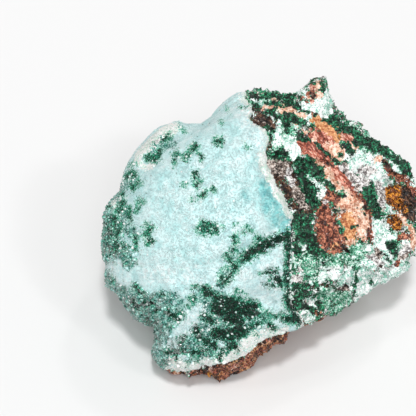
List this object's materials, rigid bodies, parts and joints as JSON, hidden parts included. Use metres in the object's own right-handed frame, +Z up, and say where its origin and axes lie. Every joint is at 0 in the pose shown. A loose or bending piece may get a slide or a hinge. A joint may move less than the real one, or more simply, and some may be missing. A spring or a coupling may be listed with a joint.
{
  "type": "chrysocolla specimen",
  "caption": "Mineral specimen: a broken lump of copper ore with a domed crust of drusy turquoise chrysocolla and green malachite on iron-stained rock, resting on its worn underside.",
  "frame": {"origin": "centre of the bounding box on the surface that the specimen rests on", "axes": "+Z up, +X along the longest extent, towards the broken end; -Y towards the foot of the show face"},
  "size_m": [0.0855, 0.0702, 0.0619],
  "materials": {
    "druse": "drusy, fine sparkling crystals",
    "matrix": "rough broken rock, stained by iron and copper"
  },
  "bodies": {
    "root": {"druse_crust": "druse", "matrix_rock": "matrix"}
  },
  "joints": []
}
